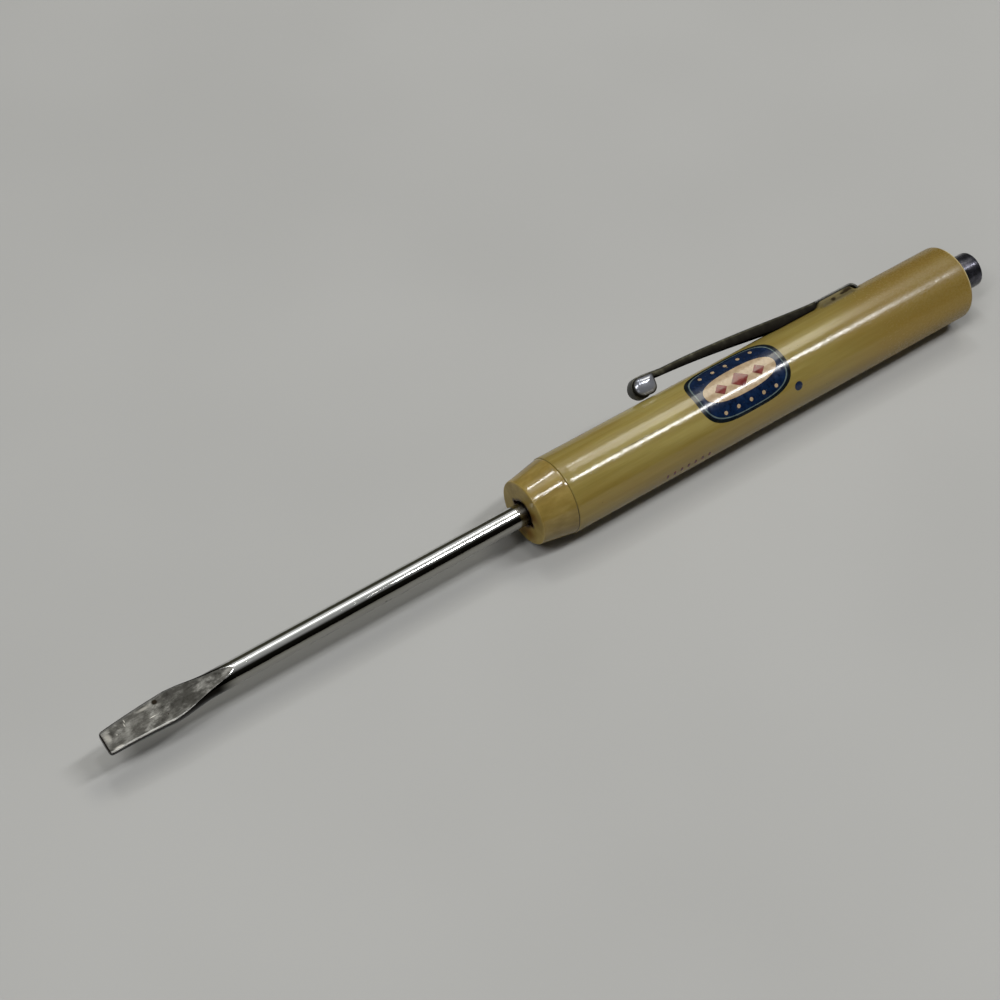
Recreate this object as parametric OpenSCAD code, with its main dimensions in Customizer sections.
// Pocket screwdriver: a reversible chromed blade in a round hollow handle, with a spring pocket
// clip and a pick-up magnet in the butt. X runs along the tool from the tip to the butt, Z is up,
// and the origin is the middle of the blade's tip. The handle lies on a table at its radius below.

/* [Blade] */
// Length of steel that stands out of the nose
blade_reach = 70.1; // [60:0.1:90]
// Diameter of the round shank
shank_d = 3.6; // [3:0.05:3.9]
// Width of the blade across its tip
tip_w = 3.75; // [3.2:0.05:4.2]
// Thickness of the blade at its tip
tip_t = 0.8; // [0.6:0.02:1]
// Radius of the tip's two corners
tip_corner_r = 0.5; // [0.1:0.01:0.6]
// Length of the short ground bevel behind the tip
bevel_l = 4.2; // [2:0.1:6]
// Thickness of the blade where that bevel ends
bevel_t = 1; // [0.9:0.02:1.1]
// Widest part of the flared blade
flare_w = 4.76; // [4.4:0.02:5.2]
// Distance from the tip to the widest part
flare_x = 10; // [8:0.1:11]
// Thickness of the blade at its widest part
flare_t = 1.24; // [1.14:0.02:1.5]
// Length over which the flare draws in to the round shank
flare_run = 7; // [5:0.1:9]
// Length over which the flat faces climb to the top of the shank
ramp_l = 10.2; // [8.5:0.1:12]
// Span across the two swaged wings that keep the blade from turning
wing_span = 5; // [4.6:0.05:5.6]
// Thickness of a wing
wing_t = 1.1; // [0.8:0.05:1.4]
// Length of a wing
wing_l = 5.6; // [4:0.1:8]
// Distance from the nose's face to the wings
wing_inset = 0.9; // [0.5:0.1:2]
// Length of the cone on the cross point at the blade's hidden end
point_l = 2.3; // [1.8:0.1:3]
// Diameter of that cone's blunt end
point_d = 1.3; // [1:0.05:1.6]
// Length of the cross point's four flutes
flute_l = 5; // [3:0.1:8]
// Diameter of the core between the flutes at the blunt end
core_d = 0.8; // [0.6:0.05:1]
// Angle between the two sides of a flute
flute_angle = 92; // [80:1:100]
// Turn of the blade's flat face about the tool, from +Y towards +Z
blade_turn = 104; // [0:1:180]

/* [Nose] */
// Length of the tapered nose
nose_l = 5.8; // [4:0.1:10]
// Diameter of the nose's front face
nose_face_d = 10.54; // [8:0.02:12]
// How much smaller than the handle the nose is at the seam, on the radius
seam_step = 0.1; // [0.02:0.01:0.3]
// Rounding of the nose's front edge
nose_edge_r = 0.3; // [0.1:0.05:0.6]
// Length of the plug that the nose has inside the handle
plug_l = 18; // [10:0.5:24]
// Chamfer at the plug's end
plug_chamfer = 0.5; // [0.2:0.1:1]
// Diameter of the worn mouth of the shank's hole
mouth_d = 4.3; // [4:0.05:4.6]
// Depth of that mouth
mouth_depth = 1; // [0.5:0.1:2]

/* [Barrel] */
// Diameter of the handle
barrel_d = 12.7; // [12:0.1:14]
// Wall of the handle round the nose's plug
plug_wall = 2.15; // [1.9:0.05:2.4]
// Wall of the handle round the hollow for the blade's hidden half
hollow_wall = 2.65; // [2.5:0.05:2.9]
// Room in the hollow behind the blade's hidden end
hollow_spare = 1.3; // [1:0.1:12]
// Wall of plastic between the hollow and the magnet's hole
bulkhead_t = 1.6; // [1.5:0.1:4]
// Rounding of the handle's front edge
front_edge_r = 0.2; // [0.1:0.05:0.4]
// Rounding of the handle's butt edge
butt_edge_r = 0.6; // [0.3:0.05:1.2]
// Gap that shows as the seam between nose and handle
seam_gap = 0.06; // [0.02:0.01:0.15]

/* [Magnet] */
// Diameter of the magnet
magnet_d = 5.94; // [5:0.02:6.6]
// Length of the magnet
magnet_l = 11; // [10:0.5:16]
// How far the magnet stands out of the butt
magnet_out = 5.5; // [3:0.1:7]
// Rounding of the magnet's edges
magnet_edge_r = 0.35; // [0.1:0.05:0.8]

/* [Clip] */
// Turn of the clip about the tool, from +Y towards +Z
clip_turn = 34; // [0:1:360]
// Thickness of the clip's spring strip
strip_t = 0.4; // [0.35:0.01:0.55]
// Width of the clip at its fixed end
clip_w = 3.8; // [3.4:0.05:4.2]
// Width of the clip at the neck behind the ball
neck_w = 2.7; // [2.4:0.05:3]
// Distance from the butt to the clip's rear end
clip_rear = 16.5; // [15:0.1:25]
// Length of the clip's fixed plate
root_l = 8.2; // [7.6:0.1:12]
// Length from the fixed plate to the middle of the ball
arm_l = 34.3; // [30:0.1:42]
// Diameter of the ball in side view
ball_d = 3.5; // [3:0.05:4]
// Gap between the ball and the handle at rest
ball_gap = 0.15; // [0.12:0.01:0.3]
// Distance from the ball's middle to the neck
neck_l = 4.3; // [4:0.1:6]
// How much lower the strip is at the neck than on top of the ball
neck_drop = 0.44; // [0.2:0.02:0.6]
// Depth of the turned-down sides at the neck
neck_side_h = 1; // [0.8:0.05:1.1]
// Depth of the turned-down sides at the fixed end, before they meet the handle
root_side_h = 2.1; // [1.8:0.05:2.5]
// Width of the tongue that closes the ball round the front
tongue_w = 1.7; // [1.4:0.05:2]
// Gap between the tongue and each side cup of the ball
cup_gap = 0.12; // [0.05:0.01:0.2]
// Diameter of the ball's side cups
cup_d = 3.1; // [2.6:0.05:3.2]
// Diameter of the smaller lobe that each cup has towards the butt
cup_lobe_d = 2.6; // [2.2:0.05:2.8]
// How far that lobe lies behind the cup's middle
cup_lobe_l = 1.05; // [0.6:0.05:1.3]
// How far that lobe lies below the cup's middle
cup_lobe_drop = 0.35; // [0.2:0.05:0.4]
// How far the cup's point lies ahead of the neck
cup_point_l = 1.7; // [1.2:0.1:2.2]
// How far the dome of each side cup bulges out
cup_bulge = 0.5; // [0.3:0.05:0.8]
// Flat rim of each side cup round its dome
cup_rim = 0.12; // [0.05:0.01:0.2]
// Height of the moulded pad that the clip's plate sits on
pad_h = 0.58; // [0.5:0.02:0.9]
// Plastic of the pad that shows on each side of the plate
pad_lip = 0.6; // [0.5:0.05:1]
// Corner radius of the pad
pad_corner_r = 0.9; // [0.4:0.1:1.4]
// Distance from the pad's middle back to the tabs
tab_shift = 0.4; // [0:0.1:1]
// Length of each side tab that holds the plate
tab_l = 1.8; // [1.2:0.1:2.4]
// Depth of the tabs below the handle's surface
tab_depth = 3.5; // [3.2:0.1:4]
// Length of the foot clinched at the end of each tab
foot_l = 0.9; // [0.5:0.05:1.1]
// Outer radius of the bend at the plate's rear end
hook_bend_r = 1.6; // [1:0.1:2]
// Depth of the plate's bent rear end below the handle's surface
hook_depth = 0.9; // [0.7:0.1:1.4]

/* [Fits] */
// Gap on the radius round pieces that are pressed or cemented in
cement_gap = 0.02; // [0.01:0.01:0.05]
// Gap on the radius between the blade and its hole in the nose
slide_gap = 0.06; // [0.04:0.01:0.1]
// Gap round each tab, wing and hook in its slot
slot_gap = 0.12; // [0.05:0.01:0.18]
// Extra length of the tab slots at each end
slot_end_gap = 0.7; // [0.4:0.05:1]
// Gap between the clip's moving arm and its fixed plate
flex_gap = 0.08; // [0.05:0.01:0.12]
// Gap between the arm's sides and the handle at rest
side_gap = 0.16; // [0.12:0.01:0.3]

/* [Hidden] */
round_fn = 96;
edge_steps = 5;
flare_steps = 8;
bow_steps = 14;
// Cuts run this far past the faces that they open
over = 0.5;
// Shape of the arm's bow: how far along, and how far down, its two middle control points lie
bow_along_shares = [0.416, 0.777];
bow_down_shares = [0.104, 0.871];
// Share of the arm's length over which it narrows to the neck
taper_share = 0.75;
// Turn round the ball at which the tongue ends, from its top through its front
tongue_sweep = 205;

shank_r = shank_d / 2;
flare_r = flare_w / 2;
tip_r = tip_w / 2;
wing_r = wing_span / 2;
barrel_r = barrel_d / 2;
plug_r = barrel_r - plug_wall;
hollow_r = barrel_r - hollow_wall;
ball_r = ball_d / 2;
cup_r = cup_d / 2;
lobe_r = cup_lobe_d / 2;
point_r = point_d / 2;
core_r = core_d / 2;

nose_x = blade_reach;
seam_x = nose_x + nose_l;
plug_end_x = seam_x + plug_l;
wing_x = nose_x + wing_inset;
// The wings are at the blade's middle, so that either end of it stands out alike
blade_end_x = 2 * wing_x + wing_l;
hollow_end_x = blade_end_x + hollow_spare;
magnet_start_x = hollow_end_x + bulkhead_t;
magnet_end_x = magnet_start_x + magnet_l;
butt_x = magnet_end_x - magnet_out;

root_end_x = butt_x - clip_rear;
joggle_x = root_end_x - root_l;
ball_x = joggle_x - arm_l;
neck_x = ball_x + neck_l;
pad_top_z = barrel_r + pad_h;
root_top_z = pad_top_z + strip_t;
ball_z = barrel_r + ball_gap + ball_r;
ball_top_z = ball_z + ball_r;
neck_top_z = ball_top_z - neck_drop;
pad_w = clip_w + 2 * pad_lip;
pad_start_x = joggle_x + slot_gap;
// The pad ends where the plate starts to bend down
pad_end_x = root_end_x - hook_bend_r;
tab_x = (pad_start_x + pad_end_x) / 2 + tab_shift;
side_end_x = joggle_x - strip_t;

// Points of an arc about a centre, both in the plane of the outline
function arc(centre, r, from, to, steps) =
    [for (i = [0:steps]) let (a = from + (to - from) * i / steps) centre + r * [cos(a), sin(a)]];

// One coordinate of a cubic curve at t
function cubic(a, b, c, d, t) =
    a * pow(1 - t, 3) + 3 * b * t * pow(1 - t, 2) + 3 * c * t * t * (1 - t) + d * pow(t, 3);

// Radius of the flared blade at a distance x from the tip
function flare_at(x) =
    let (t = (x - flare_x) / flare_run)
    shank_r + (flare_r - shank_r) * (1 + cos(180 * t)) / 2;

// Centre line facts of the arm: its top edge, and the depth of its sides, at t from neck to plate
function arm_x(t) =
    let (run = joggle_x - neck_x)
    cubic(neck_x, neck_x + run * bow_along_shares[0], neck_x + run * bow_along_shares[1], joggle_x, t);
function arm_top(t) =
    let (fall = neck_top_z - root_top_z)
    cubic(neck_top_z, neck_top_z - fall * bow_down_shares[0],
          neck_top_z - fall * bow_down_shares[1], root_top_z, t);
function arm_side(t) = neck_side_h + (root_side_h - neck_side_h) * t;

// Solid of revolution about the tool's axis: each point is [radius, x]
module lathe(points) {
    rotate([0, 90, 0]) rotate_extrude($fn = round_fn) polygon(points);
}

// Round bore or rod along the tool's axis
module rod(r, from, to) {
    translate([from, 0, 0]) rotate([0, 90, 0]) cylinder(r = r, h = to - from, $fn = round_fn);
}

// Turns its children from straight up to the angle given, measured from +Y towards +Z
module turned(angle) {
    rotate([angle - 90, 0, 0]) children();
}

// Side view outline in x and z, as thick as width
module side_plate(width) {
    rotate([90, 0, 0]) linear_extrude(height = width, center = true) children();
}

module box(from, to) {
    translate(from) cube(to - from);
}

// Flat outline with round corners, centred on y
module rounded_outline(from_x, to_x, w, r) {
    translate([from_x, -w / 2 + r]) square([to_x - from_x, w - 2 * r]);
    translate([from_x + r, -w / 2]) square([to_x - from_x - 2 * r, w]);
    for (x = [from_x + r, to_x - r], y = [-w / 2 + r, w / 2 - r])
        translate([x, y]) circle(r = r, $fn = round_fn);
}

module barrel_outside() {
    front = seam_x + seam_gap / 2;
    lathe(concat(
        [[0, front]],
        arc([barrel_r - front_edge_r, front + front_edge_r], front_edge_r, -90, 0, edge_steps),
        arc([barrel_r - butt_edge_r, butt_x - butt_edge_r], butt_edge_r, 0, 90, edge_steps),
        [[0, butt_x]]));
}

// Pad that follows the handle's curve, with a flat seat as wide as the clip's plate
module clip_pad() {
    intersection() {
        linear_extrude(height = pad_top_z)
            rounded_outline(pad_start_x, pad_end_x, pad_w, pad_corner_r);
        union() {
            rod(pad_top_z, pad_start_x - over, pad_end_x + over);
            box([pad_start_x - over, -clip_w / 2, 0], [pad_end_x + over, clip_w / 2, pad_top_z]);
        }
    }
}

module tab_slots() {
    slot_l = tab_l + 2 * slot_end_gap;
    for (side = [-1, 1])
        translate([tab_x - slot_l / 2, side * (clip_w - strip_t) / 2 - strip_t / 2 - slot_gap, 0])
            cube([slot_l, strip_t + 2 * slot_gap, pad_top_z + over]);
}

// The slot is open as far forward as the bend reaches where it enters the handle
module hook_slot() {
    inner_r = hook_bend_r - strip_t;
    drop = barrel_r - root_top_z + hook_bend_r;
    front = pad_end_x + sqrt(inner_r * inner_r - drop * drop) - slot_gap;
    box([front, -clip_w / 2 - slot_gap, barrel_r - hook_depth - slot_gap],
        [root_end_x + slot_gap, clip_w / 2 + slot_gap, barrel_r + over]);
}

module barrel() {
    color("#a8924c") difference() {
        union() {
            barrel_outside();
            turned(clip_turn) clip_pad();
        }
        rod(plug_r + cement_gap, seam_x - over, plug_end_x + slot_gap);
        rod(hollow_r, seam_x, hollow_end_x);
        rod(magnet_d / 2 + cement_gap, magnet_start_x - cement_gap, butt_x + over);
        turned(clip_turn) tab_slots();
        turned(clip_turn) hook_slot();
    }
}

module nose_outside() {
    back = seam_x - seam_gap / 2;
    shoulder_r = barrel_r - seam_step;
    face_r = nose_face_d / 2;
    taper = atan((shoulder_r - face_r) / nose_l);
    lathe(concat(
        [[0, nose_x]],
        arc([face_r - nose_edge_r, nose_x + nose_edge_r], nose_edge_r, -90, -taper, edge_steps),
        [[shoulder_r, back], [plug_r, back], [plug_r, plug_end_x - plug_chamfer],
         [plug_r - plug_chamfer, plug_end_x], [0, plug_end_x]]));
}

module wing_slots() {
    half_t = wing_t / 2 + slot_gap;
    half_w = wing_r + slot_gap;
    box([nose_x - over, -half_w, -half_t], [wing_x + wing_l + slot_gap, half_w, half_t]);
}

module nose_cone() {
    color("#a08a45") difference() {
        nose_outside();
        rod(shank_r + slide_gap, nose_x - over, plug_end_x + over);
        rod(mouth_d / 2, nose_x - over, nose_x + mouth_depth);
        turned(blade_turn) wing_slots();
    }
}

// Round rod with the flared end that the flats are cut from, and a cone at its other end
module flared_rod() {
    lathe(concat(
        [[0, 0], [tip_r, 0]],
        [for (i = [0:flare_steps]) let (x = flare_x + flare_run * i / flare_steps) [flare_at(x), x]],
        [[shank_r, blade_end_x - point_l], [point_r, blade_end_x], [0, blade_end_x]]));
}

// Four straight flutes that run out of the shank towards its middle and leave a cross
module cross_flutes() {
    climb = atan((shank_r - core_r) / flute_l);
    spread = shank_d * tan(flute_angle / 2);
    for (turn = [0:90:270])
        rotate([turn + 45, 0, 0]) translate([blade_end_x, 0, core_r]) rotate([0, climb, 0])
            translate([-2 * flute_l, 0, 0]) rotate([90, 0, 90]) linear_extrude(height = 2 * flute_l + over)
                polygon([[0, 0], [spread, shank_d], [-spread, shank_d]]);
}

// Side view of what the two flat faces leave standing
module blade_flats() {
    ramp_end = flare_x + ramp_l;
    above = [[0, tip_t / 2], [bevel_l, bevel_t / 2], [flare_x, flare_t / 2],
             [ramp_end, shank_r], [ramp_end, flare_w]];
    below = [for (i = [len(above) - 1:-1:0]) [above[i][0], -above[i][1]]];
    side_plate(flare_w + over)
        polygon(concat(above, [[blade_end_x + over, flare_w], [blade_end_x + over, -flare_w]], below));
}

// Plan view of the blade, which rounds the tip's corners
module blade_plan() {
    translate([0, 0, -flare_w]) linear_extrude(height = 2 * flare_w) union() {
        rounded_outline(0, flare_x, tip_w, tip_corner_r);
        translate([tip_corner_r, -flare_w]) square([blade_end_x, 2 * flare_w]);
    }
}

module wings() {
    slope = wing_r - shank_r;
    end = wing_x + wing_l;
    intersection() {
        lathe([[0, wing_x], [shank_r, wing_x], [wing_r, wing_x + slope],
               [wing_r, end - slope], [shank_r, end], [0, end]]);
        box([wing_x, -wing_span, -wing_t / 2], [end, wing_span, wing_t / 2]);
    }
}

module reversible_blade() {
    color("#c9cccd") turned(blade_turn) difference() {
        union() {
            intersection() {
                flared_rod();
                blade_flats();
                blade_plan();
            }
            wings();
        }
        cross_flutes();
    }
}

module end_magnet() {
    r = magnet_d / 2;
    color("#3a3c40") lathe(concat(
        [[0, magnet_start_x]],
        arc([r - magnet_edge_r, magnet_start_x + magnet_edge_r], magnet_edge_r, -90, 0, edge_steps),
        arc([r - magnet_edge_r, magnet_end_x - magnet_edge_r], magnet_edge_r, 0, 90, edge_steps),
        [[0, magnet_end_x]]));
}

// Plate on the pad, with its rear end bent down into the handle
module root_outline() {
    start = joggle_x + flex_gap / 2;
    bend_x = root_end_x - hook_bend_r;
    bend_z = root_top_z - hook_bend_r;
    translate([start, pad_top_z]) square([bend_x - start, strip_t]);
    intersection() {
        translate([bend_x, bend_z]) difference() {
            circle(r = hook_bend_r, $fn = round_fn);
            circle(r = hook_bend_r - strip_t, $fn = round_fn);
        }
        translate([bend_x, bend_z]) square([hook_bend_r, hook_bend_r]);
    }
    translate([root_end_x - strip_t, barrel_r - hook_depth])
        square([strip_t, bend_z - barrel_r + hook_depth]);
}

// Tab that goes through the handle's wall and is clinched inwards
module side_tab(side) {
    inner = clip_w / 2 - strip_t;
    foot_z = barrel_r - tab_depth;
    mirror([0, side > 0 ? 0 : 1, 0]) {
        box([tab_x - tab_l / 2, inner, foot_z], [tab_x + tab_l / 2, clip_w / 2, root_top_z]);
        box([tab_x - tab_l / 2, clip_w / 2 - foot_l, foot_z],
            [tab_x + tab_l / 2, clip_w / 2, foot_z + strip_t]);
    }
}

module clip_root() {
    color("#4d4a40") turned(clip_turn) union() {
        side_plate(clip_w) root_outline();
        side_tab(1);
        side_tab(-1);
    }
}

// Side view of the arm, from the ball's top to the plate: the strip's bowed top edge, drawn
// down by lower, and a lower edge that lies deeper by the sides' depth times deepen
module arm_outline(lower, deepen) {
    top = [for (i = [0:bow_steps]) let (t = i / bow_steps) [arm_x(t), arm_top(t) - lower]];
    under = [for (i = [bow_steps:-1:0]) let (t = i / bow_steps)
        [arm_x(t), arm_top(t) - lower - arm_side(t) * deepen]];
    start_z = ball_top_z - lower;
    polygon(concat([[ball_x, start_z]], top, under, [[ball_x, start_z - strip_t * deepen]]));
}

// Plan view of the arm, drawn in by inset on each side
module arm_plan(inset) {
    taper_x = neck_x + (joggle_x - neck_x) * taper_share;
    root_half = clip_w / 2 - inset;
    neck_half = neck_w / 2 - inset;
    linear_extrude(height = 2 * ball_top_z)
        polygon([[ball_x, neck_half], [neck_x, neck_half], [taper_x, root_half], [joggle_x, root_half],
                 [joggle_x, -root_half], [taper_x, -root_half], [neck_x, -neck_half],
                 [ball_x, -neck_half]]);
}

// The strip as a channel: a flat top with two sides turned down towards the handle
module arm_channel() {
    end = joggle_x - flex_gap / 2;
    difference() {
        intersection() {
            side_plate(2 * clip_w) arm_outline(0, 1);
            arm_plan(0);
        }
        intersection() {
            side_plate(2 * clip_w) arm_outline(strip_t, 2);
            arm_plan(strip_t);
        }
        rod(barrel_r + side_gap, ball_x - over, joggle_x + over);
        box([side_end_x, -clip_w, 0], [joggle_x + over, clip_w, pad_top_z]);
        box([end, -clip_w, 0], [joggle_x + over, clip_w, ball_top_z]);
    }
}

// Tongue that curls from the strip's top round the front of the ball
module ball_tongue() {
    reach = 2 * ball_d;
    side_plate(tongue_w) translate([ball_x, ball_z]) difference() {
        circle(r = ball_r, $fn = round_fn);
        circle(r = ball_r - strip_t, $fn = round_fn);
        polygon([[0, 0], [0, reach], [reach, reach], [reach, -reach],
                 reach * [cos(90 + tongue_sweep), sin(90 + tongue_sweep)]]);
    }
}

// Egg-shaped side cup: a flat cheek whose point runs up to the neck, with a dome on it
module ball_cup(side) {
    middle = [ball_x, ball_z];
    lobe = middle + [cup_lobe_l, -cup_lobe_drop];
    point = [neck_x - cup_point_l, neck_top_z];
    run = lobe - middle;
    // Angles at which the outline leaves the point's two sides and the line under the two circles
    upper = atan2(point[1] - middle[1], point[0] - middle[0]) + acos(cup_r / norm(point - middle));
    lower = atan2(run[1], run[0]) - acos((cup_r - lobe_r) / norm(run)) + 360;
    rear = atan2(point[1] - lobe[1], point[0] - lobe[0]) - acos(lobe_r / norm(point - lobe)) + 360;
    inner = tongue_w / 2 + cup_gap;
    foot_r = (2 * cup_r + lobe_r) / 3 - cup_rim;
    dome_r = (foot_r * foot_r + cup_bulge * cup_bulge) / (2 * cup_bulge);
    dome_low = cup_bulge - dome_r;
    mirror([0, side > 0 ? 0 : 1, 0]) {
        translate([0, inner + strip_t / 2, 0]) side_plate(strip_t)
            polygon(concat([point], arc(middle, cup_r, upper, lower, round_fn / 3),
                           arc(lobe, lobe_r, lower, rear, round_fn / 4)));
        translate([middle[0] + run[0] / 3, inner + strip_t, middle[1] + run[1] / 3])
            rotate([-90, 0, 0]) rotate_extrude($fn = round_fn) polygon(concat(
                [[0, -strip_t / 2], [foot_r, -strip_t / 2]],
                arc([0, dome_low], dome_r, acos(foot_r / dome_r), 90, 2 * edge_steps)));
    }
}

module clip_arm() {
    color("#57544a") turned(clip_turn) union() {
        arm_channel();
        ball_tongue();
        ball_cup(1);
        ball_cup(-1);
    }
}

barrel();
nose_cone();
reversible_blade();
end_magnet();
clip_root();
clip_arm();
